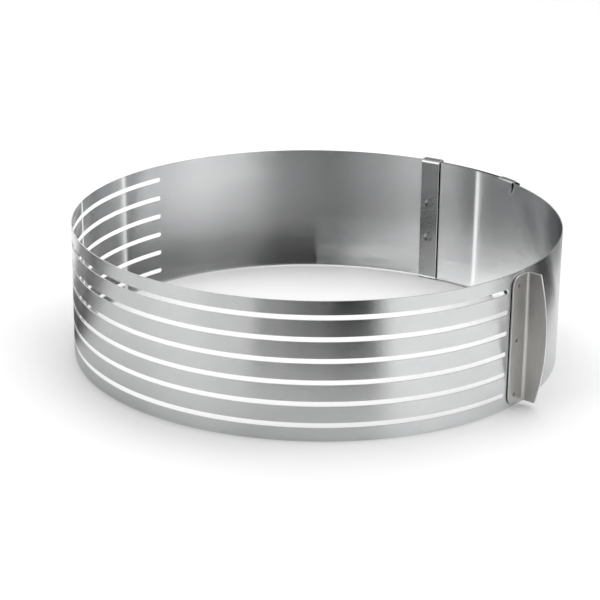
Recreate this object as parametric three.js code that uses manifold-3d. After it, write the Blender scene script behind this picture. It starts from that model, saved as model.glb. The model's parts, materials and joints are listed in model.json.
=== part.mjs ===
// Adjustable cake slicing ring.
// A slotted band of spring steel is bent to a ring, and its overlapping ends slide past each other.
// A bent finger handle is welded outside the band, and a folded guide clip inside its inner end.
// Millimetres, +Z up. The origin lies on the worktop under the ring's centre, with the front towards -Y.

import * as THREE from 'three';
import { mergeVertices } from 'three/addons/utils/BufferGeometryUtils.js';
import Module from 'manifold-3d';

const wasm = await Module();
wasm.setup();

// Band, as a ring of the size it is set to
const ringRadius = 148;            // to the middle of the sheet
const bandHeight = 82;
const bandSheet = 0.6;
const overlap = 81;                // of the two ends
const slotCentreAngle = -44.4;     // degrees from the front, towards the right

// Slots that guide the blade
const slotCount = 6;
const slotHeight = 3;
const slotRim = 8;                 // plain edge above the top slot and below the bottom one
const slotReach = 235;             // along the band, from the slots' centre to their ends

// Sections that stand for the bending band
const slattedSectionCount = 3;
const slotEndLength = 42;          // slotted part of each slot-end section
const tailSectionCount = 4;        // on each end of the band
const sectionGap = 0.3;

// Ends of the band: the inner one tucks in, and the outer one eases out and then flares
const innerTuck = 1;               // off the ring's radius
const outerEase = 0.4;             // onto the ring's radius
const outerFlare = 8;              // onto the ring's radius
const flaredTailCount = 2;

// Finger handle, an angle of thicker sheet
const handleSheet = 1;
const handleStandoff = 2.5;        // from the slot ends
const handleBase = 15;             // along the band, over the flange
const handleBend = 1.5;            // inside radius
const handleInset = 1.9;           // from the band's top and bottom edges
const handleCorner = 6;            // radius of the base's free corners
const handleReach = 15;            // of the flange at mid height, off the band
const handleEndReach = 9.3;        // of the flange at its top and bottom
const handleMargin = 5.5;          // of plain band past the flange
const weldCount = 3;
const weldInset = 6;               // from the handle's top and bottom
const weldSetback = 5.2;           // from the handle's free edge
const weldRadius = 1.2;
const weldDepth = 0.25;
const weldFloor = 0.7;             // radius of the dent's shallow floor
const weldFloorRise = 0.075;       // of the floor's edge over its middle

// Guide clip on the inner end
const clipSheet = 0.6;
const clipWidth = 13;
const clipSetback = 0.5;           // from the band's inner end
const clipStandoff = 1.2;          // from the band, crossed by its pressed welds
const clipThroat = 4.2;            // from the middle of the inner end to the lip
const clipLip = 5;                 // length of the folded lips
const clipBend = 1.6;              // inside radius, at the strip
const clipLipBend = 0.4;           // inside radius, at the lips
const clipWeldCount = 2;
const clipWeldSpacing = 24;
const clipWeldRadius = 3;          // of a pressed weld at the sheet
const clipWeldFloor = 2;           // of its flat floor

// Hooked tabs on the outer end
const tabWidth = 13.4;
const tabSetback = 3;              // from the band's outer end
const tabThroat = 4.5;             // from the middle of the outer end to the tab
const tabDrop = 8.5;               // length of the tab
const tabCorner = 4.5;             // radius of its two corners
const tabBend = 1;                 // inside radius, at the tab
const tabRootBend = 0.4;           // inside radius, at the band

// Clearances and facets
const seatGap = 0.3;               // between a welded piece and the band
const guideGap = 0.3;              // between a fold and the edge that slides under it
const cutMargin = 2;               // by which a cutting shape passes its piece
const facetLength = 5;
const roundSegments = 24;
const bendSegments = 6;

// Heights: the folds under the band's bottom edge stand on the worktop
const foldDrop = guideGap + Math.max(clipSheet, bandSheet);
const bandBottom = foldDrop;
const bandTop = bandBottom + bandHeight;
const bandMiddle = (bandBottom + bandTop) / 2;
const slotPitch = (bandHeight - 2 * slotRim - slotHeight) / (slotCount - 1);

// Lengths along the band, from the slots' centre
const slattedReach = slotReach - slotEndLength;
const slattedLength = 2 * slattedReach / slattedSectionCount;
const handleStart = slotReach + handleStandoff;
const slotEndReach = handleStart + handleBase + handleMargin;
const bandHalf = Math.PI * ringRadius + overlap / 2;
const tailLength = (bandHalf - slotEndReach) / tailSectionCount;

const steelColour = 0xc3c5c6;
const handleColour = 0xaeb0b0;
const clipColour = 0x9fa1a2;
const bandRoughness = 0.3;
const fittingRoughness = 0.35;

const cakeRing = new THREE.Group();

function addPiece(name, geometry, color, roughness) {
  const material = new THREE.MeshStandardMaterial({ color, roughness, metalness: 1 });
  const piece = new THREE.Mesh(geometry, material);
  piece.name = name;
  cakeRing.add(piece);
}

// Booleans: a closed geometry becomes a solid, and a solid becomes a geometry again
function solidOf(geometry) {
  geometry.deleteAttribute('normal');
  geometry.deleteAttribute('uv');
  const merged = mergeVertices(geometry);
  return new wasm.Manifold(new wasm.Mesh({
    numProp: 3,
    vertProperties: new Float32Array(merged.attributes.position.array),
    triVerts: new Uint32Array(merged.index.array),
  }));
}

function geometryOf(solid) {
  const mesh = solid.getMesh();
  const geometry = new THREE.BufferGeometry();
  geometry.setAttribute('position', new THREE.BufferAttribute(mesh.vertProperties, 3));
  geometry.setIndex(new THREE.BufferAttribute(mesh.triVerts, 1));
  geometry.computeVertexNormals();
  return geometry;
}

// A place on the band: a point of the sheet's middle, and the polar angle of its outward normal
function outwardAt(angle) {
  return new THREE.Vector2(Math.cos(angle), Math.sin(angle));
}

const slotCentre = (() => {
  const angle = THREE.MathUtils.degToRad(slotCentreAngle - 90);
  return { angle, point: outwardAt(angle).multiplyScalar(ringRadius) };
})();

// A stretch of the band, as an arc that goes on from a place. Turn is 1 to the right and -1 to the left.
function stretchFrom(place, radius, turn) {
  const centre = place.point.clone().addScaledVector(outwardAt(place.angle), -radius);
  return { centre, radius, turn, start: place.angle };
}

function placeOn(stretch, distance) {
  const angle = stretch.start + stretch.turn * distance / stretch.radius;
  const point = stretch.centre.clone().addScaledVector(outwardAt(angle), stretch.radius);
  return { angle, point };
}

// Plan of a stretch between two distances, from one depth to another through the sheet
function planOf(stretch, from, to, inner, outer) {
  const { centre, radius } = stretch;
  const first = placeOn(stretch, from).angle;
  const last = placeOn(stretch, to).angle;
  const forwards = last > first;
  const plan = new THREE.Shape();
  plan.absarc(centre.x, centre.y, radius + outer, first, last, !forwards);
  plan.absarc(centre.x, centre.y, radius + inner, last, first, forwards);
  return plan;
}

function strip(stretch, from, to, bottom, top, inner = -bandSheet / 2, outer = bandSheet / 2) {
  const plan = planOf(stretch, from, to, inner, outer);
  const curveSegments = Math.ceil(Math.abs(to - from) / facetLength / 2);
  const depth = top - bottom;
  const geometry = new THREE.ExtrudeGeometry(plan, { depth, bevelEnabled: false, curveSegments });
  return geometry.translate(0, 0, bottom);
}

// Axes at a place on the band: outwards, along the band to the right, and up
function axesAt(place) {
  const outward = new THREE.Vector3(Math.cos(place.angle), Math.sin(place.angle), 0);
  const up = new THREE.Vector3(0, 0, 1);
  const along = new THREE.Vector3().crossVectors(up, outward);
  const origin = new THREE.Vector3(place.point.x, place.point.y, 0);
  return { outward, along, up, origin };
}

function extrudeIn(shape, depth, x, y, z, origin, curveSegments) {
  const geometry = new THREE.ExtrudeGeometry(shape, { depth, bevelEnabled: false, curveSegments });
  const basis = new THREE.Matrix4().makeBasis(x, y, z).setPosition(origin);
  return geometry.applyMatrix4(basis);
}

// The same axes turned over about the outward one, for what is alike at the band's top and bottom
function turnedOver({ outward, along, up, origin }) {
  return {
    outward,
    along: along.clone().negate(),
    up: up.clone().negate(),
    origin: origin.clone().addScaledVector(up, 2 * bandMiddle),
  };
}

// A profile drawn outwards and up, made as long as given along the band and centred on the origin
function profileIn({ outward, along, up, origin }, shape, width) {
  const start = origin.clone().addScaledVector(along, width / 2);
  return extrudeIn(shape, width, outward, up, along.clone().negate(), start, bendSegments);
}

// An outline drawn along the band and up, made as deep as given through the sheet
function outlineIn({ outward, along, up, origin }, shape, from, to) {
  const start = origin.clone().addScaledVector(outward, from);
  return extrudeIn(shape, to - from, along, up, outward, start, roundSegments / 2);
}

// Slatted sections: the slats between the slots, cut off at each section's ends
function slatHeights(index) {
  const bottom = index === 0 ? bandBottom : bandBottom + slotRim + slotHeight + (index - 1) * slotPitch;
  const top = index === slotCount ? bandTop : bandBottom + slotRim + index * slotPitch;
  return { bottom, top };
}

function addSlats(section, stretch, from, to) {
  for (let index = 0; index <= slotCount; index += 1) {
    const { bottom, top } = slatHeights(index);
    const geometry = strip(stretch, from + sectionGap / 2, to - sectionGap / 2, bottom, top);
    addPiece(`${section}_slat_${index + 1}`, geometry, steelColour, bandRoughness);
  }
}

// Slot-end sections: a plain piece of band with the round ends of the slots cut into it
function slotEndGeometry(stretch) {
  const slotRadius = slotHeight / 2;
  const from = slattedReach + sectionGap / 2;
  const to = slotEndReach - sectionGap / 2;
  const roundAxes = axesAt(placeOn(stretch, slotReach - slotRadius));
  let section = solidOf(strip(stretch, from, to, bandBottom, bandTop));
  for (let index = 0; index < slotCount; index += 1) {
    const bottom = bandBottom + slotRim + index * slotPitch;
    const slot = strip(
      stretch, slattedReach - cutMargin, slotReach - slotRadius,
      bottom, bottom + slotHeight, -cutMargin, cutMargin,
    );
    const round = new THREE.Shape();
    round.absarc(0, bottom + slotRadius, slotRadius, 0, 2 * Math.PI);
    section = section.subtract(solidOf(slot));
    section = section.subtract(solidOf(outlineIn(roundAxes, round, -cutMargin, cutMargin)));
  }
  return geometryOf(section);
}

// Handle: a flat base, a wide bend and a flange whose free edge is an arc
function handleGeometry(stretch) {
  const flat = handleBase - handleBend - handleSheet;
  const place = placeOn(stretch, handleStart + flat / 2);
  const { outward, along, up, origin } = axesAt(place);
  const seat = bandSheet / 2 + seatGap;
  const bottom = bandBottom + handleInset;
  const top = bandTop - handleInset;
  const outerBend = handleBend + handleSheet;
  const corner = origin.clone().addScaledVector(outward, seat).addScaledVector(along, -flat / 2);
  const reach = Math.max(handleReach, handleEndReach) + cutMargin;

  const angle = new THREE.Shape();
  angle.moveTo(0, 0);
  angle.absarc(outerBend, flat, outerBend, Math.PI, Math.PI / 2, true);
  angle.lineTo(reach, handleBase);
  angle.lineTo(reach, handleBase - handleSheet);
  angle.absarc(outerBend, flat, handleBend, Math.PI / 2, Math.PI, false);
  angle.lineTo(handleSheet, 0);
  const angleFoot = corner.clone().addScaledVector(up, bottom);
  const bent = solidOf(extrudeIn(angle, top - bottom, outward, along, up, angleFoot, bendSegments));

  const base = new THREE.Shape();
  base.moveTo(handleBase + cutMargin, bottom - cutMargin);
  base.lineTo(handleBase + cutMargin, top + cutMargin);
  base.lineTo(handleCorner, top + cutMargin);
  base.lineTo(handleCorner, top);
  base.absarc(handleCorner, top - handleCorner, handleCorner, Math.PI / 2, Math.PI, false);
  base.absarc(handleCorner, bottom + handleCorner, handleCorner, Math.PI, Math.PI * 1.5, false);
  base.lineTo(handleCorner, bottom - cutMargin);
  const baseStart = corner.clone().addScaledVector(outward, -cutMargin);
  const baseCut = extrudeIn(base, reach + 2 * cutMargin, along, up, outward, baseStart, roundSegments / 4);

  const halfHeight = (top - bottom) / 2;
  const bulge = handleReach - handleEndReach;
  const edgeRadius = (halfHeight ** 2 + bulge ** 2) / (2 * bulge);
  const edgeAngle = Math.asin(halfHeight / edgeRadius);
  const flange = new THREE.Shape();
  flange.moveTo(-cutMargin, top);
  flange.lineTo(-cutMargin, bottom);
  flange.absarc(handleReach - edgeRadius, bandMiddle, edgeRadius, -edgeAngle, edgeAngle, false);
  const flangeStart = corner.clone().addScaledVector(along, handleBase + cutMargin);
  const flangeLength = handleBase + 2 * cutMargin;
  const backwards = along.clone().negate();
  const flangeCut = extrudeIn(flange, flangeLength, outward, up, backwards, flangeStart, roundSegments / 2);

  let handle = bent.intersect(solidOf(baseCut)).intersect(solidOf(flangeCut));
  const weldSpan = top - bottom - 2 * weldInset;
  for (let index = 0; index < weldCount; index += 1) {
    const dent = new THREE.LatheGeometry([
      new THREE.Vector2(0, -weldDepth),
      new THREE.Vector2(weldFloor, weldFloorRise - weldDepth),
      new THREE.Vector2(weldRadius, 0),
      new THREE.Vector2(weldRadius, cutMargin),
      new THREE.Vector2(0, cutMargin),
    ], roundSegments);
    const height = bottom + weldInset + weldSpan * index / (weldCount - 1);
    const centre = corner.clone().addScaledVector(outward, handleSheet);
    centre.addScaledVector(along, weldSetback).addScaledVector(up, height);
    dent.applyMatrix4(new THREE.Matrix4().makeBasis(up, outward, along).setPosition(centre));
    handle = handle.subtract(solidOf(dent));
  }
  return geometryOf(handle);
}

// A pressed weld of the clip: a round spot that the sheet is pushed out to, across the gap to the band
function pressedWeld({ outward, along, up, origin }, start, depth, height) {
  const rise = clipStandoff - seatGap;
  const spot = new THREE.LatheGeometry([
    new THREE.Vector2(0, start),
    new THREE.Vector2(clipWeldRadius, start),
    new THREE.Vector2(clipWeldRadius, 0),
    new THREE.Vector2(clipWeldFloor, rise),
    new THREE.Vector2(0, rise),
  ], roundSegments);
  const centre = origin.clone().addScaledVector(outward, depth).addScaledVector(up, height);
  return solidOf(spot.applyMatrix4(new THREE.Matrix4().makeBasis(up, outward, along).setPosition(centre)));
}

// Guide clip: a flat strip inside the inner end, folded out over both edges of the outer end
function clipGeometry(stretch) {
  const axes = axesAt(placeOn(stretch, tailLength - clipSetback - clipWidth / 2));
  const face = -(bandSheet / 2 + clipStandoff);
  const back = face - clipSheet;
  const front = clipThroat + clipSheet;
  const top = bandTop + guideGap + clipSheet;
  const bottom = bandBottom - guideGap - clipSheet;
  const outer = clipBend + clipSheet;
  const lipOuter = clipLipBend + clipSheet;
  const section = new THREE.Shape();
  section.moveTo(front, bottom + clipLip);
  section.lineTo(clipThroat, bottom + clipLip);
  section.absarc(front - lipOuter, bottom + lipOuter, clipLipBend, 0, -Math.PI / 2, true);
  section.absarc(back + outer, bottom + outer, clipBend, -Math.PI / 2, -Math.PI, true);
  section.absarc(back + outer, top - outer, clipBend, Math.PI, Math.PI / 2, true);
  section.absarc(front - lipOuter, top - lipOuter, clipLipBend, Math.PI / 2, 0, true);
  section.lineTo(clipThroat, top - clipLip);
  section.lineTo(front, top - clipLip);
  section.absarc(front - lipOuter, top - lipOuter, lipOuter, 0, Math.PI / 2, false);
  section.absarc(back + outer, top - outer, outer, Math.PI / 2, Math.PI, false);
  section.absarc(back + outer, bottom + outer, outer, Math.PI, Math.PI * 1.5, false);
  section.absarc(front - lipOuter, bottom + lipOuter, lipOuter, -Math.PI / 2, 0, false);

  let clip = solidOf(profileIn(axes, section, clipWidth));
  for (let index = 0; index < clipWeldCount; index += 1) {
    const height = bandMiddle + clipWeldSpacing * (index - (clipWeldCount - 1) / 2);
    clip = clip.add(pressedWeld(axes, -clipSheet / 2, face, height));
    clip = clip.subtract(pressedWeld(axes, -cutMargin, back, height));
  }
  return geometryOf(clip);
}

// Hooked tab of the outer end: a tongue of the sheet folded in over the inner end, with round corners
function tabSolid(axes) {
  const root = bandTop - cutMargin / 2;
  const top = bandTop + guideGap + bandSheet;
  const tip = top - tabDrop;
  const half = bandSheet / 2;
  const leg = -(tabThroat + bandSheet);
  const outer = tabBend + bandSheet;
  const rootOuter = tabRootBend + bandSheet;
  const section = new THREE.Shape();
  section.moveTo(-half, root);
  section.lineTo(half, root);
  section.absarc(half - rootOuter, top - rootOuter, rootOuter, 0, Math.PI / 2, false);
  section.absarc(leg + outer, top - outer, outer, Math.PI / 2, Math.PI, false);
  section.lineTo(leg, tip - cutMargin);
  section.lineTo(-tabThroat, tip - cutMargin);
  section.absarc(leg + outer, top - outer, tabBend, Math.PI, Math.PI / 2, true);
  section.absarc(half - rootOuter, top - rootOuter, tabRootBend, Math.PI / 2, 0, true);

  const side = tabWidth / 2;
  const tongue = new THREE.Shape();
  tongue.moveTo(side, top + cutMargin);
  tongue.lineTo(-side, top + cutMargin);
  tongue.absarc(tabCorner - side, tip + tabCorner, tabCorner, Math.PI, Math.PI * 1.5, false);
  tongue.absarc(side - tabCorner, tip + tabCorner, tabCorner, -Math.PI / 2, 0, false);
  const folded = solidOf(profileIn(axes, section, tabWidth));
  return folded.intersect(solidOf(outlineIn(axes, tongue, leg - cutMargin, half + cutMargin)));
}

function hookedTailGeometry(stretch) {
  const from = sectionGap / 2;
  const to = tailLength - sectionGap / 2;
  const axes = axesAt(placeOn(stretch, tailLength - tabSetback - tabWidth / 2));
  const tail = solidOf(strip(stretch, from, to, bandBottom, bandTop));
  return geometryOf(tail.add(tabSolid(axes)).add(tabSolid(turnedOver(axes))));
}

// Front section, round the slots' centre
const frontHalf = slattedLength / 2;
addSlats('slotted_front', stretchFrom(slotCentre, ringRadius, 1), -frontHalf, frontHalf);

// Each side, from the front section to the band's end
const sides = [
  { side: 'right', turn: 1, tail: 'inner_tail', radii: () => ringRadius - innerTuck },
  {
    side: 'left',
    turn: -1,
    tail: 'outer_tail',
    radii: (index) => ringRadius + (index < tailSectionCount - flaredTailCount ? outerEase : outerFlare),
  },
];

for (const { side, turn, tail, radii } of sides) {
  const ring = stretchFrom(slotCentre, ringRadius, turn);
  addSlats(`slotted_${side}`, ring, frontHalf, slattedReach);
  addPiece(`${side}_slot_end`, slotEndGeometry(ring), steelColour, bandRoughness);

  let place = placeOn(ring, slotEndReach);
  for (let index = 0; index < tailSectionCount; index += 1) {
    const stretch = stretchFrom(place, radii(index), turn);
    const isEnd = index === tailSectionCount - 1;
    const geometry = isEnd && turn < 0
      ? hookedTailGeometry(stretch)
      : strip(stretch, sectionGap / 2, tailLength - sectionGap / 2, bandBottom, bandTop);
    addPiece(`${tail}_${index + 1}`, geometry, steelColour, bandRoughness);
    if (isEnd && turn > 0) {
      addPiece('guide_clip', clipGeometry(stretch), clipColour, fittingRoughness);
    }
    place = placeOn(stretch, tailLength);
  }
  if (turn > 0) {
    addPiece('handle', handleGeometry(ring), handleColour, fittingRoughness);
  }
}

export default cakeRing;
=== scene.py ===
import json
import math

import bmesh
import bpy
from mathutils import Matrix, Vector

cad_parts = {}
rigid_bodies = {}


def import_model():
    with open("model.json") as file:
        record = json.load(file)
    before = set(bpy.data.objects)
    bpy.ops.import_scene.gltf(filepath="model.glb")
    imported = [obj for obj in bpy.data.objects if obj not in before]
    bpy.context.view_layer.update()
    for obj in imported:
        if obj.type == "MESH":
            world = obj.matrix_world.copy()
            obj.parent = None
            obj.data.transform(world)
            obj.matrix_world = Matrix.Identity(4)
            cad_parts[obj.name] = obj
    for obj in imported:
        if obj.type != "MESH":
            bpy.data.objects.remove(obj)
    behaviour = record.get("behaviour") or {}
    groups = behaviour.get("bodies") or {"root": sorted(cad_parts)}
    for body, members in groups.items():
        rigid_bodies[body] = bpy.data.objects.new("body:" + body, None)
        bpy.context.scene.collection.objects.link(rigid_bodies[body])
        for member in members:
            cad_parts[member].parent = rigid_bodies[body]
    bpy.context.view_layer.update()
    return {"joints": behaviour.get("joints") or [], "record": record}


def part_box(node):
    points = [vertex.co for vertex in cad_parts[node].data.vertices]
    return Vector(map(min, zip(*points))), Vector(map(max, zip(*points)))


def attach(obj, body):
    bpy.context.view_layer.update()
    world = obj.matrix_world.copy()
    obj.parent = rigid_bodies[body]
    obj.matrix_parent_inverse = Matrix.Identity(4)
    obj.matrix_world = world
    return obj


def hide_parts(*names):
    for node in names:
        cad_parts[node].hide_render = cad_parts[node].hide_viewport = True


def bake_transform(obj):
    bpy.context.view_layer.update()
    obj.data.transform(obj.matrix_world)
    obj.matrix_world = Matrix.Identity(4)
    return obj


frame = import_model()


# Band
# One strip of thin stainless spring steel, rolled into a ring whose ends overlap at the back right.
# Six level slots are punched along half of it, and a tongue at the top and bottom of its outer end is
# folded in over the edges of the inner end. It is made flat at full length, cut up and rolled.
band_sheet = 0.0006
band_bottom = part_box("slotted_front_slat_1")[0].z
band_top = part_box("slotted_front_slat_7")[1].z
slot_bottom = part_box("slotted_front_slat_1")[1].z
slot_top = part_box("slotted_front_slat_2")[0].z
slot_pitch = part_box("slotted_front_slat_2")[1].z - slot_bottom
slot_count = 6
slot_reach = 0.235
stiff_reach = 0.254
column_width = 0.001
edge_round = 0.00018
edge_angle = math.radians(40)
smooth_angle = math.radians(18)
tolerance = 1e-6
cut_tolerance = 1e-7
bodies = frame["record"]["behaviour"]["bodies"]
hinge_of = {joint["name"]: joint for joint in frame["joints"]}
hinge_numbers = range(1, 7)


def hinge_points(side):
    """Where the upright hinges of a side stand, from the slots' centre on."""
    return [Vector(hinge_of[f"bend_{side}_{number}"]["pos_m"]).to_2d() for number in hinge_numbers]


slots_outward = (hinge_points("left")[0] + hinge_points("right")[0]).normalized()


def band_arcs(side):
    """Arcs from the slots' centre through the hinges of a side, and one more like the last to the end."""
    points = hinge_points(side)
    outward = slots_outward
    place = outward * points[0].length
    arcs = []
    for point in points:
        chord = point - place
        radius = -chord.length_squared / (2 * chord.dot(outward))
        centre = place - outward * radius
        arcs.append({
            "centre": centre,
            "radius": radius,
            "start": math.atan2(outward.y, outward.x),
            "turn": math.copysign(1, outward.cross(chord)),
            "length": 2 * radius * math.asin(chord.length / (2 * radius)),
        })
        place = point
        outward = (point - centre).normalized()
    arcs.append(dict(arcs[-1], start=math.atan2(outward.y, outward.x)))
    return arcs


arcs_of = {side: band_arcs(side) for side in ("left", "right")}
length_of = {side: sum(arc["length"] for arc in arcs) for side, arcs in arcs_of.items()}


def band_place(side, distance):
    """The middle of the sheet at a distance from the slots' centre, and the way out from there."""
    arcs = arcs_of[side]
    for arc in arcs:
        if distance <= arc["length"] or arc is arcs[-1]:
            break
        distance -= arc["length"]
    angle = arc["start"] + arc["turn"] * distance / arc["radius"]
    outward = Vector((math.cos(angle), math.sin(angle)))
    return arc["centre"] + outward * arc["radius"], outward


def band_line():
    """The line that the flat strip is rolled onto, from the outer end to the inner one."""
    steps = 2 * round((length_of["left"] + length_of["right"]) / column_width)
    distances = [(length_of["left"] + length_of["right"]) * step / steps - length_of["left"]
                 for step in range(steps + 1)]
    points = [band_place("right", d)[0] if d > 0 else band_place("left", -d)[0] for d in distances]
    curve = bpy.data.curves.new("band_line", "CURVE")
    curve.dimensions = "3D"
    spline = curve.splines.new("POLY")
    spline.points.add(len(points) - 1)
    for spot, point in zip(spline.points, points):
        spot.co = (point.x, point.y, 0, 1)
    line = bpy.data.objects.new("band_line", curve)
    bpy.context.scene.collection.objects.link(line)
    return line


def only(piece):
    """Selects one piece and nothing else."""
    bpy.ops.object.select_all(action="DESELECT")
    piece.select_set(True)
    bpy.context.view_layer.objects.active = piece


def sized(piece, size):
    """Gives a unit primitive its size, with its place kept in its mesh."""
    piece.scale = size
    bpy.ops.object.transform_apply(location=True, rotation=True, scale=True)
    return piece


def block(low, high):
    """A square block from one corner to the other."""
    bpy.ops.object.select_all(action="DESELECT")
    bpy.ops.mesh.primitive_cube_add(size=1, location=(Vector(low) + Vector(high)) / 2)
    return sized(bpy.context.object, Vector(high) - Vector(low))


def sheet_plane(low, high, columns):
    """An upright sheet from one corner to the other, facing -Y, in columns."""
    bpy.ops.object.select_all(action="DESELECT")
    middle = (Vector(low) + Vector(high)) / 2
    bpy.ops.mesh.primitive_grid_add(
        x_subdivisions=columns, y_subdivisions=1, size=1, location=middle, rotation=(math.pi / 2, 0, 0))
    return sized(bpy.context.object, (high[0] - low[0], high[2] - low[2], 1))


def pick_edges(test):
    """Selects the edges of the mesh in edit mode whose two ends pass the test."""
    bpy.ops.mesh.select_mode(type="EDGE")
    bpy.ops.mesh.select_all(action="DESELECT")
    mesh = bmesh.from_edit_mesh(bpy.context.object.data)
    for edge in mesh.edges:
        edge.select_set(all(test(vert.co) for vert in edge.verts))
    bmesh.update_edit_mesh(bpy.context.object.data)


def fold_path(corners, radii, steps):
    """A line through square corners, each rounded to its radius."""
    path = [Vector(corners[0])]
    for before, corner, after, radius in zip(corners, corners[1:], corners[2:], radii):
        coming = (Vector(corner) - Vector(before)).normalized()
        going = (Vector(after) - Vector(corner)).normalized()
        centre = Vector(corner) - coming * radius + going * radius
        for step in range(steps + 1):
            turn = math.pi / 2 * step / steps
            path.append(centre - going * radius * math.cos(turn) + coming * radius * math.sin(turn))
    path.append(Vector(corners[-1]))
    return path


def fold_out(path):
    """Draws the picked edges out along a path."""
    for here, there in zip(path, path[1:]):
        if (there - here).length > tolerance:
            bpy.ops.mesh.extrude_region_move(TRANSFORM_OT_translate={"value": there - here})


def apply_modifier(piece, kind, **settings):
    """Adds a modifier with its settings and applies it."""
    only(piece)
    modifier = piece.modifiers.new(kind.lower(), kind)
    for setting, value in settings.items():
        setattr(modifier, setting, value)
    bpy.ops.object.modifier_apply(modifier=modifier.name)


def thicken(piece, thickness):
    """Gives a sheet its thickness, half to each side, with bare cut edges."""
    apply_modifier(piece, "SOLIDIFY", thickness=thickness, offset=0, use_even_offset=True,
                   material_offset_rim=1)


def soften_edges(piece):
    """Takes the sharpness off the cut edges."""
    apply_modifier(piece, "BEVEL", width=edge_round, segments=2, limit_method="ANGLE",
                   angle_limit=edge_angle, material=1)


def lay_finish(piece, along=(1, 0, 0), across=(0, 1, 1)):
    """UV in metres along and across the rolling lines, so that the finish follows the sheet."""
    layer = piece.data.uv_layers[0]
    layer.name = "rolling"
    for loop in piece.data.loops:
        spot = piece.data.vertices[loop.vertex_index].co
        layer.data[loop.index].uv = (spot.dot(Vector(along)), spot.dot(Vector(across)))


def finish_group():
    """Rolling lines, hairline scratches and soft smudges of sheet steel, on UV in metres."""
    group = bpy.data.node_groups.new("rolled_finish", "ShaderNodeTree")
    group.interface.new_socket("Along", in_out="INPUT", socket_type="NodeSocketVector")
    for name in ("Line Scale", "Roughness Low", "Roughness High"):
        group.interface.new_socket(name, in_out="INPUT", socket_type="NodeSocketFloat")
    for name in ("Tone", "Roughness", "Height"):
        group.interface.new_socket(name, in_out="OUTPUT", socket_type="NodeSocketFloat")
    nodes = group.nodes
    links = group.links
    given = nodes.new("NodeGroupInput")
    result = nodes.new("NodeGroupOutput")

    def stretched_noise(along, across, detail):
        stretch = nodes.new("ShaderNodeMapping")
        stretch.inputs["Scale"].default_value = (along, across, 1)
        links.new(given.outputs["Along"], stretch.inputs["Vector"])
        noise = nodes.new("ShaderNodeTexNoise")
        noise.noise_dimensions = "2D"
        noise.inputs["Detail"].default_value = detail
        noise.inputs["Scale"].default_value = 1
        links.new(stretch.outputs["Vector"], noise.inputs["Vector"])
        return noise

    def ranged(source, low, high, to_low, to_high):
        span = nodes.new("ShaderNodeMapRange")
        for name, value in (("From Min", low), ("From Max", high), ("To Min", to_low), ("To Max", to_high)):
            span.inputs[name].default_value = value
        links.new(source, span.inputs["Value"])
        return span.outputs["Result"]

    def combined(operation, first, second):
        sum_node = nodes.new("ShaderNodeMath")
        sum_node.operation = operation
        for socket, value in zip(sum_node.inputs, (first, second)):
            if isinstance(value, (int, float)):
                socket.default_value = value
            else:
                links.new(value, socket)
        return sum_node.outputs["Value"]

    line_share = 0.6
    smudge_share = 0.4
    line_roughness = 0.5
    hair_depth = 0.4
    lines = stretched_noise(along=0.012, across=1, detail=3)
    links.new(given.outputs["Line Scale"], lines.inputs["Scale"])
    hairs = stretched_noise(along=9, across=2600, detail=1)
    smudges = stretched_noise(along=16, across=22, detail=4)
    hair = ranged(hairs.outputs["Fac"], 0.66, 0.74, 0, 1)
    line_tone = ranged(lines.outputs["Fac"], 0.3, 0.7, 0, line_share)
    smudge_tone = ranged(smudges.outputs["Fac"], 0.3, 0.7, 0, smudge_share)
    tone = combined("ADD", line_tone, smudge_tone)
    links.new(combined("MAXIMUM", tone, hair), result.inputs["Tone"])
    rough = nodes.new("ShaderNodeMapRange")
    links.new(combined("ADD", combined("MULTIPLY", line_tone, line_roughness), smudge_tone),
              rough.inputs["Value"])
    rough.inputs["From Max"].default_value = line_roughness * line_share + smudge_share
    links.new(given.outputs["Roughness Low"], rough.inputs["To Min"])
    links.new(given.outputs["Roughness High"], rough.inputs["To Max"])
    links.new(rough.outputs["Result"], result.inputs["Roughness"])
    links.new(combined("SUBTRACT", lines.outputs["Fac"], combined("MULTIPLY", hair, hair_depth)),
              result.inputs["Height"])
    return group


rolled_finish = finish_group()


def steel(name, dark, light, line_scale, roughness, relief, anisotropy):
    """Stainless sheet, whose rolling lines spread its reflections across them."""
    quarter_turn = 0.25
    relief_depth = 0.0001
    material = bpy.data.materials.new(name)
    material.use_nodes = True
    nodes = material.node_tree.nodes
    links = material.node_tree.links
    shader = nodes["Principled BSDF"]
    shader.inputs["Metallic"].default_value = 1
    shader.inputs["Anisotropic"].default_value = anisotropy
    shader.inputs["Anisotropic Rotation"].default_value = quarter_turn
    along = nodes.new("ShaderNodeUVMap")
    along.uv_map = "rolling"
    finish = nodes.new("ShaderNodeGroup")
    finish.node_tree = rolled_finish
    finish.inputs["Line Scale"].default_value = line_scale
    finish.inputs["Roughness Low"].default_value = roughness[0]
    finish.inputs["Roughness High"].default_value = roughness[1]
    links.new(along.outputs["UV"], finish.inputs["Along"])
    colour = nodes.new("ShaderNodeMix")
    colour.data_type = "RGBA"
    colour.inputs["A"].default_value = (*dark, 1)
    colour.inputs["B"].default_value = (*light, 1)
    links.new(finish.outputs["Tone"], colour.inputs["Factor"])
    links.new(colour.outputs["Result"], shader.inputs["Base Color"])
    links.new(finish.outputs["Roughness"], shader.inputs["Roughness"])
    bump = nodes.new("ShaderNodeBump")
    bump.inputs["Strength"].default_value = relief
    bump.inputs["Distance"].default_value = relief_depth
    links.new(finish.outputs["Height"], bump.inputs["Height"])
    links.new(bump.outputs["Normal"], shader.inputs["Normal"])
    tangent = nodes.new("ShaderNodeTangent")
    tangent.direction_type = "UV_MAP"
    tangent.uv_map = "rolling"
    links.new(tangent.outputs["Tangent"], shader.inputs["Tangent"])
    return material


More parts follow.
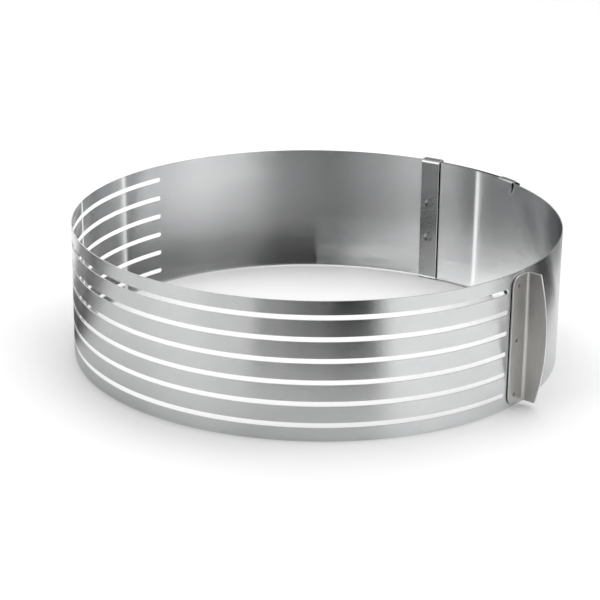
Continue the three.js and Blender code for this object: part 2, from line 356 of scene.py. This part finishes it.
band_steel = steel("band_steel", (0.58, 0.585, 0.59), (0.67, 0.675, 0.68), 7000, (0.21, 0.25), 0.01, 1.0)
fold_steel = steel("fold_steel", (0.62, 0.625, 0.63), (0.70, 0.705, 0.71), 7000, (0.20, 0.26), 0.01, 0.2)
# Cut edges: rougher sheared steel, made lighter than the sheet as a painted highlight along every edge.
cut_steel = steel("cut_steel", (0.70, 0.70, 0.70), (0.82, 0.82, 0.82), 1500, (0.36, 0.5), 0.02, 0.0)


def finish_with(piece, sheet_steel):
    """The sheet's own finish on its faces, and on its cut edges rougher sheared steel whose lighter colour
    is a painted highlight.
    """
    piece.data.materials.append(sheet_steel)
    piece.data.materials.append(cut_steel)


def smooth_sheet(piece, angle):
    """Smooth faces, with the borders of the cut edges kept crisp."""
    only(piece)
    bpy.ops.object.shade_smooth_by_angle(angle=angle)
    piece.active_material_index = 1
    bpy.ops.object.mode_set(mode="EDIT")
    bpy.ops.mesh.select_mode(type="FACE")
    bpy.ops.mesh.select_all(action="DESELECT")
    bpy.ops.object.material_slot_select()
    bpy.ops.mesh.region_to_loop()
    bpy.ops.mesh.mark_sharp()
    bpy.ops.object.mode_set(mode="OBJECT")


def flat_band():
    """The whole band before rolling: x runs along it from the outer end, and y towards the inside."""
    length = length_of["left"] + length_of["right"]
    strip = sheet_plane((0, 0, band_bottom), (length, 0, band_top), round(length / column_width))

    tab_width = 0.0134
    tab_setback = 0.003
    tab_middle = 0.0048
    tab_rise = 0.0006
    tab_drop = 0.0076
    tab_corner = 0.0045
    tab_bend = 0.0013
    tab_end = tab_setback + tab_width
    bpy.ops.object.mode_set(mode="EDIT")
    for cut in (tab_setback, tab_end):
        bpy.ops.mesh.select_all(action="SELECT")
        bpy.ops.mesh.bisect(plane_co=(cut, 0, 0), plane_no=(1, 0, 0), threshold=cut_tolerance)
    for rim, up in ((band_top, 1), (band_bottom, -1)):
        pick_edges(lambda spot: abs(spot.z - rim) < tolerance and abs(spot.y) < tolerance
                   and tab_setback - tolerance < spot.x < tab_end + tolerance)
        fold_out(fold_path([
            (0, 0, rim),
            (0, 0, rim + up * tab_rise),
            (0, tab_middle, rim + up * tab_rise),
            (0, tab_middle, rim - up * tab_drop),
        ], (tab_rise, tab_bend), 8))
    bpy.ops.object.mode_set(mode="OBJECT")
    finish_with(strip, band_steel)
    thicken(strip, band_sheet)

    slot_end_round = 0.499 * (slot_top - slot_bottom)
    punch_reach = 0.001
    slots = block((length_of["left"] - slot_reach, -punch_reach, slot_bottom),
                  (length_of["left"] + slot_reach, punch_reach, slot_top))
    bpy.ops.object.mode_set(mode="EDIT")
    mesh = bmesh.from_edit_mesh(slots.data)
    bpy.ops.mesh.select_mode(type="EDGE")
    bpy.ops.mesh.select_all(action="DESELECT")
    for edge in mesh.edges:
        along = edge.verts[1].co - edge.verts[0].co
        edge.select_set(abs(along.y) > tolerance)
    bmesh.update_edit_mesh(slots.data)
    bpy.ops.mesh.bevel(offset=slot_end_round, segments=12, affect="EDGES")
    bpy.ops.object.mode_set(mode="OBJECT")
    apply_modifier(slots, "ARRAY", count=slot_count, use_relative_offset=False,
                   use_constant_offset=True, constant_offset_displace=(0, 0, slot_pitch))

    cutters = [slots]
    for rim, up in ((band_top, 1), (band_bottom, -1)):
        tip = rim - up * tab_drop
        round_start = tip + up * tab_corner
        low, high = sorted((tip - up * tab_corner, round_start))
        corners = block((tab_setback - tab_corner, tab_middle / 2, low),
                        (tab_end + tab_corner, 2 * tab_middle, high))
        low, high = sorted((tip, round_start + up * tab_corner))
        tongue = block((tab_setback, tab_middle / 3, low), (tab_end, 3 * tab_middle, high))
        bpy.ops.object.mode_set(mode="EDIT")
        pick_edges(lambda spot: abs(spot.z - tip) < tolerance)
        mesh = bmesh.from_edit_mesh(tongue.data)
        for edge in mesh.edges:
            if abs(edge.verts[1].co.x - edge.verts[0].co.x) > tolerance:
                edge.select_set(False)
        bmesh.update_edit_mesh(tongue.data)
        bpy.ops.mesh.bevel(offset=tab_corner, segments=24, affect="EDGES")
        bpy.ops.object.mode_set(mode="OBJECT")
        apply_modifier(corners, "BOOLEAN", operation="DIFFERENCE", object=tongue, solver="EXACT")
        bpy.data.objects.remove(tongue)
        cutters.append(corners)
    for cutter in cutters:
        cutter.data.materials.append(cut_steel)
        apply_modifier(strip, "BOOLEAN", operation="DIFFERENCE", object=cutter, solver="EXACT",
                       material_mode="TRANSFER")
        bpy.data.objects.remove(cutter)
    soften_edges(strip)
    lay_finish(strip)
    strip.data.materials.append(fold_steel)
    for face in strip.data.polygons:
        if face.center.y > band_sheet and face.material_index == 0:
            face.material_index = 2
    return strip


strip = flat_band()
line = band_line()


def cut_length(name, low, high):
    """A length of the flat band, cut square where it goes on and rolled into its place on the ring."""
    piece = strip.copy()
    piece.data = strip.data.copy()
    piece.name = name
    bpy.context.scene.collection.objects.link(piece)
    only(piece)
    whole = length_of["left"] + length_of["right"]
    bpy.ops.object.mode_set(mode="EDIT")
    for cut, side in ((low, "clear_inner"), (high, "clear_outer")):
        if tolerance < cut < whole - tolerance:
            bpy.ops.mesh.select_all(action="SELECT")
            bpy.ops.mesh.bisect(plane_co=(cut, 0, 0), plane_no=(1, 0, 0), threshold=cut_tolerance,
                                use_fill=True, **{side: True})
    bpy.ops.object.mode_set(mode="OBJECT")
    apply_modifier(piece, "CURVE", object=line, deform_axis="POS_X")
    smooth_sheet(piece, smooth_angle)
    return piece


def upright(point):
    """A point of the band's line, raised to half the band's height."""
    return Vector((point.x, point.y, (band_bottom + band_top) / 2))


for side in ("right", "left"):
    edges = [0]
    for arc in arcs_of[side]:
        edges.append(edges[-1] + arc["length"])
    middles = [0] + [(here + there) / 2 for here, there in zip(edges[1:], edges[2:])]
    for number in hinge_numbers:
        near = middles[number - 1]
        far = middles[number]
        end = length_of[side] if number == hinge_numbers[-1] else far
        span = (near, end) if side == "right" else (-end, -near)
        low, high = (length_of["left"] + distance for distance in span)
        piece = cut_length(f"band_{side}_{number}", low, high)
        joint = hinge_of[f"bend_{side}_{number}"]
        stiff = stiff_reach if near < stiff_reach < far else near
        upright(band_place(side, stiff)[0])
        upright(band_place(side, far)[0])
        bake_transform(piece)
        stood_for = [node for node in bodies[joint["child"]] if node not in ("handle", "guide_clip")]
        if side == "right" and number == 1:
            stood_for += bodies[joint["parent"]]
        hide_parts(*stood_for)
bpy.data.objects.remove(strip)
bpy.data.objects.remove(line)


# Finger handle
# A bracket of thicker satin sheet, bent square, with its flange cut to a shallow arc.
# Its flat base, with two round corners, is held to the band by three spot welds.
handle_sheet = 0.001
handle_margin = 0.0025
handle_start = slot_reach + handle_margin
handle_flat = 0.012
handle_bend = 0.0025
handle_inset = 0.0019
handle_corner = 0.006
handle_reach = 0.015
handle_end_reach = 0.0093
handle_gap = 0.0003
handle_seat = band_sheet / 2 + handle_gap
handle_smooth_angle = math.radians(12)
weld_radius = 0.0012
weld_depth = 0.00025
weld_inset = 0.006
weld_setback = 0.0052
handle_bottom = band_bottom + handle_inset
handle_top = band_top - handle_inset
handle_steel = steel("handle_steel", (0.47, 0.465, 0.45), (0.56, 0.555, 0.54), 5000, (0.26, 0.34), 0.02, 0.6)
weld_steel = steel("weld_steel", (0.18, 0.175, 0.17), (0.28, 0.27, 0.26), 1500, (0.4, 0.5), 0.02, 0.0)


def set_on_band(piece, side, distance):
    """Turns a piece made along X, with -Y outwards, into its place on the band."""
    point, outward = band_place(side, distance)
    away = Vector((outward.x, outward.y, 0))
    along = Vector((0, 0, 1)).cross(away)
    turn = Matrix((along, -away, Vector((0, 0, 1)))).transposed().to_4x4()
    piece.data.transform(Matrix.Translation((point.x, point.y, 0)) @ turn)
    piece.data.update()


def finger_handle():
    """The bracket, made along X with its base against the band and its flange towards -Y."""
    base_y = -(handle_seat + handle_sheet / 2)
    free_x = -handle_flat / 2
    bend_x = handle_flat / 2
    flange_x = bend_x + handle_bend
    bracket = sheet_plane((free_x, base_y, handle_bottom), (bend_x, base_y, handle_top), 1)
    bpy.ops.object.mode_set(mode="EDIT")
    pick_edges(lambda spot: spot.x > bend_x - tolerance)
    fold_out(fold_path([
        (bend_x, base_y, 0),
        (flange_x, base_y, 0),
        (flange_x, -(handle_seat + handle_end_reach), 0),
    ], (handle_bend,), 16))
    bpy.ops.mesh.subdivide(number_cuts=31)
    half_height = (handle_top - handle_bottom) / 2
    bulge = handle_reach - handle_end_reach
    edge_radius = (half_height ** 2 + bulge ** 2) / (2 * bulge)
    edge_centre = handle_seat + handle_reach - edge_radius
    mesh = bmesh.from_edit_mesh(bracket.data)
    for vert in mesh.verts:
        if vert.select:
            height = vert.co.z - (handle_bottom + handle_top) / 2
            vert.co.y = -(edge_centre + math.sqrt(edge_radius ** 2 - height ** 2))
    bmesh.update_edit_mesh(bracket.data)
    bpy.ops.mesh.select_mode(type="VERT")
    bpy.ops.mesh.select_all(action="DESELECT")
    mesh = bmesh.from_edit_mesh(bracket.data)
    for vert in mesh.verts:
        vert.select_set(vert.co.x < free_x + tolerance)
    bmesh.update_edit_mesh(bracket.data)
    bpy.ops.mesh.bevel(offset=handle_corner, segments=16, affect="VERTICES")
    bpy.ops.object.mode_set(mode="OBJECT")
    finish_with(bracket, handle_steel)
    thicken(bracket, handle_sheet)
    soften_edges(bracket)
    # The level top and bottom edges keep the handle's own steel, without the painted highlight of the other
    # cut edges.
    level_normal = 0.99
    for face in bracket.data.polygons:
        if abs(face.normal.z) > level_normal:
            face.material_index = 0

    dish_radius = (weld_radius ** 2 + weld_depth ** 2) / (2 * weld_depth)
    dish_y = weld_depth - dish_radius - handle_seat - handle_sheet
    for height in (handle_bottom + weld_inset, (handle_bottom + handle_top) / 2, handle_top - weld_inset):
        bpy.ops.object.select_all(action="DESELECT")
        bpy.ops.mesh.primitive_uv_sphere_add(
            segments=96, ring_count=192, radius=dish_radius,
            location=(free_x + weld_setback, dish_y, height), rotation=(math.pi / 2, 0, 0))
        ball = bpy.context.object
        bpy.ops.object.transform_apply(location=True, rotation=True, scale=True)
        ball.data.materials.append(weld_steel)
        apply_modifier(bracket, "BOOLEAN", operation="DIFFERENCE", object=ball, solver="EXACT",
                       material_mode="TRANSFER")
        bpy.data.objects.remove(ball)
    lay_finish(bracket, along=(0, 0, 1), across=(1, -1, 0))
    return bracket


handle = finger_handle()
handle.name = "finger_handle"
set_on_band(handle, "right", handle_start + handle_flat / 2)
smooth_sheet(handle, handle_smooth_angle)
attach(handle, "right_slot_end")
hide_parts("handle")


# Guide clip
# A narrow strip of satin steel inside the band's inner end, held to it by two pressed spot welds.
# Its ends are folded out over the top and bottom edges of the outer end, which slides under them.
clip_sheet = 0.0006
clip_width = 0.013
clip_setback = 0.0005
clip_back = 0.0018
clip_lip = -0.0045
clip_rise = 0.0006
clip_drop = 0.0041
clip_bend = 0.0019
clip_lip_bend = 0.0007
clip_weld_rise = 0.0009
clip_weld_radius = 0.003
clip_weld_floor = 0.002
clip_weld_root = 0.0002
clip_weld_spacing = 0.024
# The clip's steel is made far darker than the band's, a painted shade for the dark surroundings its flat
# face mirrors.
clip_steel = steel("clip_steel", (0.25, 0.253, 0.256), (0.31, 0.313, 0.316), 5000, (0.24, 0.30), 0.02, 0.5)


def guide_clip():
    """The clip, made along X against the inside of the band, with its lips towards -Y."""
    top = band_top + clip_rise - clip_bend
    bottom = band_bottom - clip_rise + clip_bend
    clip = sheet_plane((-clip_width / 2, clip_back, bottom), (clip_width / 2, clip_back, top), 1)
    bpy.ops.object.mode_set(mode="EDIT")
    for edge, rim, up in ((top, band_top, 1), (bottom, band_bottom, -1)):
        pick_edges(lambda spot: abs(spot.z - edge) < tolerance and abs(spot.y - clip_back) < tolerance)
        fold_out(fold_path([
            (0, clip_back, edge),
            (0, clip_back, rim + up * clip_rise),
            (0, clip_lip, rim + up * clip_rise),
            (0, clip_lip, rim - up * clip_drop),
        ], (clip_bend, clip_lip_bend), 10))
    bpy.ops.object.mode_set(mode="OBJECT")
    finish_with(clip, clip_steel)
    thicken(clip, clip_sheet)
    soften_edges(clip)

    slope = (clip_weld_radius - clip_weld_floor) / clip_weld_rise
    middle = (band_bottom + band_top) / 2
    for height in (middle - clip_weld_spacing / 2, middle + clip_weld_spacing / 2):
        for face, operation in ((-clip_sheet / 2, "UNION"), (clip_sheet / 2, "DIFFERENCE")):
            weld_y = clip_back + face + (clip_weld_root - clip_weld_rise) / 2
            bpy.ops.object.select_all(action="DESELECT")
            bpy.ops.mesh.primitive_cone_add(
                vertices=48, radius1=clip_weld_radius + slope * clip_weld_root, radius2=clip_weld_floor,
                depth=clip_weld_rise + clip_weld_root, location=(0, weld_y, height),
                rotation=(math.pi / 2, 0, 0))
            spot = bpy.context.object
            bpy.ops.object.transform_apply(location=True, rotation=True, scale=True)
            apply_modifier(clip, "BOOLEAN", operation=operation, object=spot, solver="EXACT")
            bpy.data.objects.remove(spot)
    lay_finish(clip)
    clip.data.materials.append(fold_steel)
    for face in clip.data.polygons:
        if face.material_index == 0 and not bottom < face.center.z < top:
            face.material_index = 2
    return clip


clip = guide_clip()
clip.name = "end_clip"
set_on_band(clip, "right", length_of["right"] - clip_setback - clip_width / 2)
smooth_sheet(clip, smooth_angle)
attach(clip, "inner_tail_4")
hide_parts("guide_clip")


# Floor and studio
# A white worktop under the ring, which stands on its folds at the back and on its edge at the front left.
# Soft boxes and pale walls light it. Cards on the worktop and thin lamps, which the steel alone can see,
# give the polished wall its dark and bright zones.
floor_size = 12
floor_level = (0.93, 0.93, 0.93, 1)
ring_radius = hinge_points("right")[0].length
lean = math.atan2(band_bottom / 2, ring_radius)
slope_axis = Vector((slots_outward.y, -slots_outward.x, 0))
bpy.ops.object.select_all(action="DESELECT")
bpy.ops.mesh.primitive_plane_add(size=floor_size, location=(0, 0, band_bottom / 2))
floor = bpy.context.object
floor.name = "worktop"
floor.rotation_mode = "AXIS_ANGLE"
floor.rotation_axis_angle = (lean, *slope_axis)
floor_white = bpy.data.materials.new("worktop_white")
floor_white.use_nodes = True
floor_shader = floor_white.node_tree.nodes["Principled BSDF"]
floor_shader.inputs["Base Color"].default_value = floor_level
floor_shader.inputs["Roughness"].default_value = 0.7
floor_shader.inputs["Specular IOR Level"].default_value = 0.2
floor.data.materials.append(floor_white)


def level_ramp(tree, value, reach, levels):
    """Grey levels along a value, given at points from minus its reach to its reach."""
    share = tree.nodes.new("ShaderNodeMapRange")
    share.inputs["From Min"].default_value = -reach
    share.inputs["From Max"].default_value = reach
    tree.links.new(value, share.inputs["Value"])
    ramp = tree.nodes.new("ShaderNodeValToRGB")
    ramp.color_ramp.interpolation = "EASE"
    stops = ramp.color_ramp.elements
    while len(stops) < len(levels):
        stops.new(0.5)
    for stop, (place, level) in zip(stops, sorted(levels.items())):
        stop.position = (place + reach) / (2 * reach)
        stop.color = (level, level, level, 1)
    tree.links.new(share.outputs["Result"], ramp.inputs["Fac"])
    return ramp.outputs["Color"]


def degrees_round(tree, vector):
    """Degrees round the ring, from the camera's side towards the right, and the split vector."""
    parts = tree.nodes.new("ShaderNodeSeparateXYZ")
    tree.links.new(vector, parts.inputs["Vector"])
    forward = tree.nodes.new("ShaderNodeMath")
    forward.operation = "MULTIPLY"
    forward.inputs[1].default_value = -1
    tree.links.new(parts.outputs["Y"], forward.inputs[0])
    azimuth = tree.nodes.new("ShaderNodeMath")
    azimuth.operation = "ARCTAN2"
    tree.links.new(parts.outputs["X"], azimuth.inputs[0])
    tree.links.new(forward.outputs["Value"], azimuth.inputs[1])
    degrees = tree.nodes.new("ShaderNodeMath")
    degrees.operation = "DEGREES"
    tree.links.new(azimuth.outputs["Value"], degrees.inputs[0])
    return degrees.outputs["Value"], parts


def studio_walls():
    """Bright and dark panels round the ring, dimmer behind it where they rise, and a pale ceiling."""
    low_levels = {
        -180: 0.9, -158: 0.7, -144: 0.06, -122: 0.06, -110: 0.3, -38: 0.45, -30: 0.15, -12: 0.08,
        4: 0.0, 26: 0.0, 38: 1.6, 110: 1.6, 122: 0.3, 140: 0.15, 156: 0.9, 180: 0.9}
    raised_levels = {**low_levels, -180: 0.25, -158: 0.25, 156: 0.25, 180: 0.25}
    ceiling_level = 0.9
    world = bpy.context.scene.world or bpy.data.worlds.new("studio")
    bpy.context.scene.world = world
    world.use_nodes = True
    tree = world.node_tree
    direction = tree.nodes.new("ShaderNodeTexCoord")
    around, parts = degrees_round(tree, direction.outputs["Generated"])

    def height_share(low, high):
        share = tree.nodes.new("ShaderNodeMapRange")
        share.inputs["From Min"].default_value = low
        share.inputs["From Max"].default_value = high
        tree.links.new(parts.outputs["Z"], share.inputs["Value"])
        return share

    panels = tree.nodes.new("ShaderNodeMix")
    panels.data_type = "RGBA"
    tree.links.new(level_ramp(tree, around, 180, low_levels), panels.inputs["A"])
    tree.links.new(level_ramp(tree, around, 180, raised_levels), panels.inputs["B"])
    tree.links.new(height_share(0.06, 0.2).outputs["Result"], panels.inputs["Factor"])
    overhead = height_share(0.75, 0.98)
    overhead.interpolation_type = "SMOOTHSTEP"
    dome = tree.nodes.new("ShaderNodeMix")
    dome.data_type = "RGBA"
    dome.inputs["B"].default_value = (ceiling_level, ceiling_level, ceiling_level, 1)
    tree.links.new(overhead.outputs["Result"], dome.inputs["Factor"])
    tree.links.new(panels.outputs["Result"], dome.inputs["A"])
    tree.links.new(dome.outputs["Result"], tree.nodes["Background"].inputs["Color"])
    tree.nodes["Background"].inputs["Strength"].default_value = 1.0


studio_walls()


def unseen(piece):
    """Leaves a piece of the studio to be seen by the steel alone."""
    piece.visible_camera = False
    piece.visible_diffuse = False
    piece.visible_shadow = False
    piece.visible_transmission = False


card_lift = 0.0004
upper_lift = 0.0002


def reflection_card(name, inner, outer, levels, measure="AROUND", reach=180, glow=0.01, centre=(0, 0, 0)):
    """A card on the worktop, dark or glowing, and clear where the levels along its measure are 1."""
    bpy.ops.object.select_all(action="DESELECT")
    bpy.ops.mesh.primitive_circle_add(vertices=96, radius=outer, fill_type="NGON")
    card = bpy.context.object
    card.name = name
    if inner:
        bpy.ops.object.mode_set(mode="EDIT")
        bpy.ops.mesh.select_all(action="SELECT")
        bpy.ops.mesh.inset(thickness=outer - inner)
        bpy.ops.mesh.delete(type="FACE")
        bpy.ops.object.mode_set(mode="OBJECT")
    card.location = (Matrix.Rotation(lean, 3, slope_axis) @ Vector(centre)
                     + Vector((0, 0, band_bottom / 2 + card_lift)))
    card.rotation_mode = "AXIS_ANGLE"
    card.rotation_axis_angle = floor.rotation_axis_angle
    unseen(card)
    material = bpy.data.materials.new(name)
    material.use_nodes = True
    tree = material.node_tree
    tree.nodes.remove(tree.nodes["Principled BSDF"])
    place = tree.nodes.new("ShaderNodeTexCoord")
    around, parts = degrees_round(tree, place.outputs["Object"])
    value = around if measure == "AROUND" else parts.outputs[measure]
    clear = level_ramp(tree, value, reach, levels)
    dark = tree.nodes.new("ShaderNodeEmission")
    dark.inputs["Strength"].default_value = glow
    open_air = tree.nodes.new("ShaderNodeBsdfTransparent")
    mix = tree.nodes.new("ShaderNodeMixShader")
    tree.links.new(clear, mix.inputs["Fac"])
    tree.links.new(dark.outputs["Emission"], mix.inputs[1])
    tree.links.new(open_air.outputs["BSDF"], mix.inputs[2])
    tree.links.new(mix.outputs["Shader"], tree.nodes["Material Output"].inputs["Surface"])
    card.data.materials.append(material)


reflection_card("left_card", 0.150, 2.0, {
    -180: 1.0, -126: 1.0, -113: 0.08, -95: 0.08, -81: 0.8, -24: 0.82, 20: 0.9, 29: 1.0, 180: 1.0})
reflection_card("front_card", 0.235, 3.5, {
    -180: 1.0, -24: 1.0, -18: 0.5, 0: 0.2, 5: 0.12, 8: 0.0, 17: 0.0, 27: 1.0, 180: 1.0},
    centre=(0, 0, upper_lift))
reflection_card("right_card", 0.225, 2.0, {
    -180: 1.0, 74: 1.0, 82: 0.0, 108: 0.0, 115: 1.0, 180: 1.0})
reflection_card("far_right_card", 0.275, 2.0, {
    -180: 1.0, 101: 1.0, 108: 0.25, 145: 0.25, 165: 1.0, 180: 1.0},
    centre=(0, 0, upper_lift))
# This card is a painted reflection: a dark strip that only the steel sees, standing in for the handle's
# shade on the band to its left.
reflection_card("foot_card", 0.06, 0.16, {
    -180: 1.0, 86: 1.0, 90: 0.0, 94: 0.0, 99: 1.0, 180: 1.0},
    centre=(0.1, -0.091, upper_lift))
reflection_card("inner_card", 0, 0.146, {
    -0.15: 0.8, -0.08: 0.8, -0.055: 0.5, -0.03: 0.12, -0.016: 0.04, 0.02: 0.02, 0.052: 0.1, 0.085: 1.0,
    0.15: 1.0}, measure="X", reach=0.15)
reflection_card("back_card", 0, 0.145, {-180: 0.05, -119: 0.05, -101: 1.0, 180: 1.0})
reflection_card("bright_card", 0.03, 0.145, {
    -180: 1.0, 66: 1.0, 88: 0.0, 168: 0.0, 177: 1.0, 180: 1.0},
    glow=1.7)


def strip_lamp(name, wall_degrees, setback, width, level):
    """A thin upright lamp close inside the wall, which mirrors it as a narrow streak."""
    turn = math.radians(wall_degrees)
    on_wall = ring_radius * Vector((math.sin(turn), -math.cos(turn)))
    mirrored = Vector((math.sin(2 * turn), -math.cos(2 * turn)))
    bpy.ops.object.select_all(action="DESELECT")
    bpy.ops.mesh.primitive_plane_add(size=1, rotation=(math.pi / 2, 0, 2 * turn))
    lamp = sized(bpy.context.object, (width, band_top - band_bottom, 1))
    lamp.name = name
    lamp.location = (*(on_wall + setback * mirrored), (band_top + band_bottom) / 2)
    unseen(lamp)
    material = bpy.data.materials.new(name)
    material.use_nodes = True
    nodes = material.node_tree.nodes
    nodes.remove(nodes["Principled BSDF"])
    glow = nodes.new("ShaderNodeEmission")
    glow.inputs["Strength"].default_value = level
    material.node_tree.links.new(glow.outputs["Emission"], nodes["Material Output"].inputs["Surface"])
    lamp.data.materials.append(material)


strip_lamp("right_strip", 132.1, 0.020, 0.0014, 2)
strip_lamp("left_strip", 240.6, 0.020, 0.0011, 2)
strip_lamp("far_left_strip", 265, 0.0129, 0.0004, 2)


def soft_box(name, place, size, power, mirrored=True):
    """A lamp with a wide white front, turned to the ring."""
    lamp = bpy.data.lights.new(name, "AREA")
    lamp.shape = "RECTANGLE"
    lamp.size, lamp.size_y = size
    lamp.energy = power
    box = bpy.data.objects.new(name, lamp)
    bpy.context.scene.collection.objects.link(box)
    box.location = place
    box.rotation_mode = "QUATERNION"
    box.rotation_quaternion = (-Vector(place)).to_track_quat("-Z", "Y")
    box.visible_glossy = mirrored


soft_box("top_box", (0.1, 0.5, 1.6), (1.6, 1.6), 17.5, mirrored=False)
soft_box("left_box", (-1.3, -0.7, 0.9), (1.0, 1.2), 6)
soft_box("back_box", (-0.45, 0.72, 0.65), (0.8, 0.35), 1.4)


# Camera
# It looks down on the front of the ring from about 1.2 metres away, with a long lens and a slight roll.
aim = Vector((0, 0, (band_bottom + band_top) / 2))
distance = 1.1847
elevation = math.radians(19.63)
roll = math.radians(0.793)
camera = bpy.data.cameras.new("camera")
camera.sensor_width = 36
camera.lens = 115.8
camera.shift_x = -0.0272
camera.shift_y = -0.0327
eye = bpy.data.objects.new("camera", camera)
bpy.context.scene.collection.objects.link(eye)
eye.location = aim + distance * Vector((0, -math.cos(elevation), math.sin(elevation)))
look = (aim - eye.location).to_track_quat("-Z", "Y").to_matrix()
eye.rotation_euler = (look @ Matrix.Rotation(roll, 3, "Z")).to_euler()
bpy.context.scene.camera = eye
bpy.context.scene.view_settings.view_transform = "Standard"
